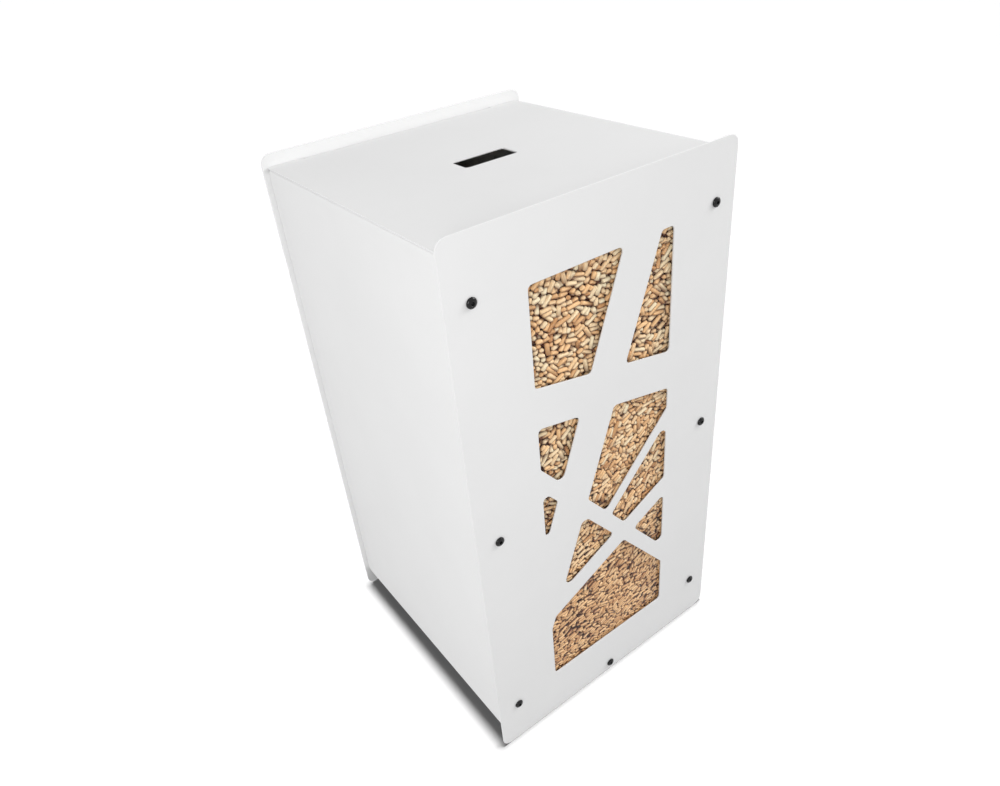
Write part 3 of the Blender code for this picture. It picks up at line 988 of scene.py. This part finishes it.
    def place(
        self, name: str, points: Array, grain: Array, tone: Array, depth: Array, faces: Faces,
        spots: Array,
    ) -> None:
        """Makes one piece of the heap.

        Args:
            name: the piece's name.
            points: its vertices.
            grain: their grain coordinates.
            tone: their tones, with the painted shade towards the bottom in them.
            depth: how far they lie into the heap, in radii of their pellet times the gain of the gaps,
                which sets their painted shade.
            faces: its faces.
            spots: a place in the bake map for each face corner.
        """
        mesh = bpy.data.meshes.new(name)
        mesh.from_pydata(points.tolist(), [], faces)
        mesh.shade_smooth()
        for label, kind, key, values in (
            (self.TONE, "FLOAT", "value", tone), (self.DEPTH, "FLOAT", "value", depth),
            (self.GRAIN, "FLOAT_VECTOR", "vector", grain),
        ):
            stored = mesh.attributes.new(label, kind, "POINT").data
            stored.foreach_set(key, values.astype(np.float32).ravel())
        mesh.uv_layers.new(name=BAKE_MAP).data.foreach_set("uv", spots.astype(np.float32).ravel())
        piece = linked(name, mesh)
        dress(piece, self.material)
        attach(piece, Body.CASE.value)
        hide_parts(self.node)
        LOG.info("%s, %d faces", name, len(faces))

    def pellets(self, name: str, rods: Rods, rings: Rings, surface: Array, inward: Array) -> None:
        """Makes a piece of loose pellets.

        Args:
            name: the piece's name.
            rods: the pellets.
            rings: rings of one pellet.
            surface: a point of the flat surface that the pellets lie behind.
            inward: unit direction from that surface into the heap.
        """
        points, grain = self.skin(rods, rings)
        count, each = points.shape[:2]
        one, cell = self.faces(rings)
        faces = [tuple(i + p * each for i in face) for p in range(count) for face in one]
        # tones painted darker towards the bottom as shade, and the gains and limits of the painted gap
        # shade
        lit, gain, limit = (
            np.interp(rods.place[:, 2], self.tone_heights, values)
            for values in (self.tones, self.painted_gap_shade_gains, self.painted_shade_sink_limits)
        )
        tone = self.tone_floor + (1 - self.tone_floor) * lit * self.rng.beta(*self.tone_spread, count)
        # painted shade depth: distance into the heap, capped for pellets lying far in and scaled by the
        # gain
        sunk = np.maximum((rods.place - surface) @ inward - limit * rods.radius, 0.0)
        depth = (points.reshape(-1, 3) - surface) @ inward - np.repeat(sunk, each)
        depth *= np.repeat(gain / rods.radius, each)
        across = math.ceil(math.sqrt(count))
        corner = np.column_stack(np.divmod(np.arange(count), across))
        spots = (corner[:, None] + self.cell_margin + (1 - 2 * self.cell_margin) * cell) / across
        tones = np.repeat(tone, each)
        self.place(name, points.reshape(-1, 3), grain.reshape(-1, 3), tones, depth, faces, spots)

    def build(self, frame: dict[str, Any]) -> None:
        """Builds the heap in place of its solid.

        Args:
            frame: the loaded frame.
        """
        size = self.outline(frame["nodes"][self.node])
        layer = self.pane_layer(size)
        upper = layer.place[:, 2] > self.split_height
        edge = np.array((0.0, size["front"], size["front_top"]))
        for name, some in (
            ("pellets_behind_upper_windows", upper), ("pellets_behind_lower_windows", ~upper),
        ):
            rods = Rods(*(column[some] for column in layer))
            self.pellets(name, rods, self.full_rings, edge, np.array((0.0, 1.0, 0.0)))
        run, fall = size["run"], size["fall"]
        into = np.array((0.0, -fall, -run)) / math.hypot(run, fall)
        self.pellets("pellets_on_top", self.top_layer(size), self.plain_rings, edge, into)
        points, faces = self.core(size)
        square = np.array([(0, 0), (1, 0), (1, 1), (0, 1)] * len(faces), float)
        nothing = np.zeros(len(points))
        # the core gets tone 0 and the full shade depth, so it is all painted shade colour
        self.place("pellet_core_in_painted_shade", points, points, nothing, nothing + self.core_shade_depth, faces, square)


@dataclass
class DomedScrews:
    """Black domed socket screws through the face plates."""

    count: int = 7
    head_radius: float = 0.00475
    head_height: float = 0.00275
    rim: float = 0.0006
    rim_round: float = 0.0002
    shank_radius: float = 0.0025
    shank: float = 0.010
    socket_flats: float = 0.003
    socket_depth: float = 0.0016
    socket_lead: float = 0.00025
    turn_steps: int = 48
    dome_steps: int = 10
    sharp_angle: float = 38.0

    def profile(self) -> list[Pair]:
        """Half section from the socket's lead-in over the dome and down to the shank's tip.

        Returns:
            Points (radius, height), with the head seated on height 0.
        """
        opening = self.socket_flats / math.sqrt(3) + self.socket_lead
        points = []
        first = math.asin(opening / self.head_radius)
        for step in range(self.dome_steps + 1):
            turn = first + (math.pi / 2 - first) * step / self.dome_steps
            height = self.rim + (self.head_height - self.rim) * math.cos(turn)
            points.append((self.head_radius * math.sin(turn), height))
        points += [
            (self.head_radius, self.rim_round), (self.head_radius - self.rim_round, 0.0),
            (self.shank_radius, 0.0), (self.shank_radius, -self.shank + self.rim),
            (self.shank_radius - self.rim, -self.shank),
        ]
        return points

    def mesh(self) -> bpy.types.Mesh:
        """One screw, its head up along Z.

        Returns:
            The closed mesh of a screw.
        """
        shape = bmesh.new()
        steps = self.turn_steps
        turns = [FULL_TURN * step / steps for step in range(steps)]
        rings = [
            [shape.verts.new((reach * math.cos(turn), reach * math.sin(turn), height)) for turn in turns]
            for reach, height in self.profile()
        ]
        top = rings[0][0].co.z
        flat, corner = self.socket_flats / 2, self.socket_flats / math.sqrt(3)
        for height in (top - self.socket_lead, top - self.socket_depth):
            ring = []
            for turn in turns:
                sixth = (turn + math.pi / 6) % (math.pi / 3) - math.pi / 6
                reach = min(corner, flat / math.cos(sixth))
                ring.append(shape.verts.new((reach * math.cos(turn), reach * math.sin(turn), height)))
            rings.insert(0, ring)
        for inner, outer in zip(rings, rings[1:]):
            for step in range(steps):
                ahead = (step + 1) % steps
                shape.faces.new((inner[step], outer[step], outer[ahead], inner[ahead]))
        shape.faces.new(rings[0])
        shape.faces.new(list(reversed(rings[-1])))
        bmesh.ops.recalc_face_normals(shape, faces=shape.faces)
        mesh = bpy.data.meshes.new("domed_screw")
        shape.to_mesh(mesh)
        shape.free()
        mesh.shade_smooth()
        mesh.set_sharp_from_angle(angle=math.radians(self.sharp_angle))
        return mesh

    def build(self) -> None:
        """Sets a screw in place of each of the frame's plain ones."""
        mesh = self.mesh()
        mesh.materials.append(BLACK_OXIDE.material())
        for side in Side:
            for number in range(1, self.count + 1):
                node = f"{side.label}_screw_{number}"
                low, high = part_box(node)
                middle = (low + high) / 2
                tip = low.y if side is Side.BACK else high.y
                screw = linked(f"{side.label}_domed_screw_{number}", mesh)
                outward = Vector((0, side.value, 0))
                screw.rotation_mode = "QUATERNION"
                screw.rotation_quaternion = outward.to_track_quat("Z", "X")
                screw.location = (middle.x, tip + side.value * self.shank, middle.z)
                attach(screw, Body.CASE.value)
                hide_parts(node)
        LOG.info("domed screws")


@dataclass
class PressNuts:
    """Press-in nuts on the folds, kept from the frame."""

    count: int = 7

    def build(self, frame: dict[str, Any]) -> None:
        """Dresses the nuts.

        Args:
            frame: the loaded frame.
        """
        zinc = BRIGHT_ZINC.material()
        for side in Side:
            for number in range(1, self.count + 1):
                dress(frame["nodes"][f"{side.label}_nut_{number}"], zinc)
        LOG.info("press-in nuts")


class Lamp(NamedTuple):
    """A soft area lamp that points at the box."""

    name: str
    place: Triple
    size: float
    power: float


@dataclass
class Studio:
    """White floor with the box's shadow, soft light and the camera."""

    floor_half: float = 30.0
    floor_seen: float = 0.165
    floor_bounce: float = 0.064
    floor_sun: float = 17.2
    sun_angle: float = 1.5
    sun_height: float = 3.0
    sun_way: Triple = (-0.0125, 0.001, -1.0)
    shadowless: str = "back_panel"
    world_light: float = 0.63
    target: Triple = (0.0, 0.0, 0.30)
    lamps: tuple[Lamp, ...] = (
        Lamp("key_lamp", (-0.82, -0.94, 0.80), 0.5, 5.60),
        Lamp("side_lamp", (-1.50, -0.08, 0.64), 0.5, 3.90),
        Lamp("top_lamp", (1.60, -0.76, 1.48), 0.8, 19.50),
        Lamp("rear_lamp", (0.30, 1.35, 0.42), 0.7, 5.20),
    )
    lens: float = 27.52
    sensor: float = 36.0
    clip: Pair = (0.01, 100.0)
    shift: Pair = (0.00727, -0.00442)
    camera_place: Triple = (-0.40341, -0.58927, 0.79819)
    camera_right: Triple = (0.80203, -0.59033, -0.09088)
    camera_down: Triple = (-0.38689, -0.39753, -0.83204)
    camera_ahead: Triple = (0.45505, 0.70248, -0.54723)

    def floor(self, sheets: Iterable[Object]) -> None:
        """Lays the floor, which its own lamp lights from above to white, apart from the box's shadow.

        Args:
            sheets: objects that cast that shadow.
        """
        half = self.floor_half
        mesh = bpy.data.meshes.new("floor")
        corners = [(-half, -half, 0.0), (half, -half, 0.0), (half, half, 0.0), (-half, half, 0.0)]
        mesh.from_pydata(corners, [], [(0, 1, 2, 3)])
        floor = linked("studio_floor", mesh)
        material, graph = new_material("studio_floor")
        tone = graph.remap(self.seen(graph), 0.0, 1.0, self.floor_bounce, self.floor_seen)
        diffuse = graph.add("ShaderNodeBsdfDiffuse", {"Color": tone})
        graph.show(diffuse.outputs["BSDF"])
        dress(floor, material)
        sun = bpy.data.lights.new("floor_sun", "SUN")
        sun.energy, sun.angle = self.floor_sun, math.radians(self.sun_angle)
        lamp = self.hung("floor_sun", sun, (0.0, 0.0, self.sun_height), Vector(self.sun_way))
        links = lamp.light_linking
        links.receiver_collection = self.gathered("floor_only", [floor])
        blockers = [sheet for sheet in sheets if sheet.name != self.shadowless]
        links.blocker_collection = self.gathered("shadow_of_sheets", blockers)

    @staticmethod
    def gathered(name: str, things: Iterable[Object]) -> bpy.types.Collection:
        """Collection for a lamp's links.

        Args:
            name: the collection's name.
            things: its objects.

        Returns:
            The collection.
        """
        collection = bpy.data.collections.new(name)
        for thing in things:
            collection.objects.link(thing)
        return collection

    @staticmethod
    def hung(name: str, data: bpy.types.Light, place: Triple, aim: Vector) -> Object:
        """Hangs a lamp.

        Args:
            name: the lamp's name.
            data: its light.
            place: where it hangs.
            aim: the way it shines.

        Returns:
            The lamp.
        """
        lamp = linked(name, data)
        lamp.location = place
        lamp.rotation_mode = "QUATERNION"
        lamp.rotation_quaternion = aim.to_track_quat("-Z", "Y")
        return lamp

    @staticmethod
    def seen(graph: Graph) -> NodeSocket:
        """1 for rays that show the surroundings themselves: camera, glossy and transmitted ones.

        Args:
            graph: graph of the material or world.

        Returns:
            The socket.
        """
        path = graph.add("ShaderNodeLightPath").outputs
        bright = graph.math("MAXIMUM", path["Is Camera Ray"], path["Is Glossy Ray"])
        return graph.math("MAXIMUM", bright, path["Is Transmission Ray"])

    def world(self) -> None:
        """White surroundings that give an even light."""
        world = bpy.data.worlds.new("studio_world")
        bpy.context.scene.world = world
        world.use_nodes = True
        graph = Graph(world.node_tree)
        strength = graph.remap(self.seen(graph), 0.0, 1.0, self.world_light, 1.0)
        background = graph.add("ShaderNodeBackground", {"Color": (1.0, 1.0, 1.0), "Strength": strength})
        graph.show(background.outputs["Background"], "ShaderNodeOutputWorld")

    def light(self) -> None:
        """Hangs the lamps that light the box."""
        for lamp in self.lamps:
            data = bpy.data.lights.new(lamp.name, "AREA")
            data.shape, data.size, data.energy = "DISK", lamp.size, lamp.power
            hung = self.hung(lamp.name, data, lamp.place, Vector(self.target) - Vector(lamp.place))
            hung.visible_camera = False

    def camera(self) -> None:
        """Places the camera as the photograph's edges give it."""
        data = bpy.data.cameras.new("camera")
        data.sensor_width, data.lens = self.sensor, self.lens
        data.shift_x, data.shift_y = self.shift
        data.clip_start, data.clip_end = self.clip
        camera = linked("camera", data)
        right, up = Vector(self.camera_right), -Vector(self.camera_down)
        back = -Vector(self.camera_ahead)
        turn = Matrix((right, up, back)).transposed().to_4x4()
        camera.matrix_world = Matrix.Translation(self.camera_place) @ turn
        bpy.context.scene.camera = camera

    def build(self, sheets: Iterable[Object]) -> None:
        """Builds the studio.

        Args:
            sheets: objects that cast the box's shadow.
        """
        self.floor(sheets)
        self.world()
        self.light()
        self.camera()
        bpy.context.scene.view_settings.view_transform = "Standard"
        LOG.info("studio")


def main() -> None:
    """Dresses the frame and sets the scene."""
    logging.basicConfig(level=logging.INFO, format="%(name)s: %(message)s")
    for thing in list(bpy.data.objects):
        bpy.data.objects.remove(thing)
    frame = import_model()
    sheets = SheetCase().build(frame)
    Glazing().build(frame)
    PelletHeap().build(frame)
    DomedScrews().build()
    PressNuts().build(frame)
    Studio().build(sheets)


if __name__ == "__main__":
    main()
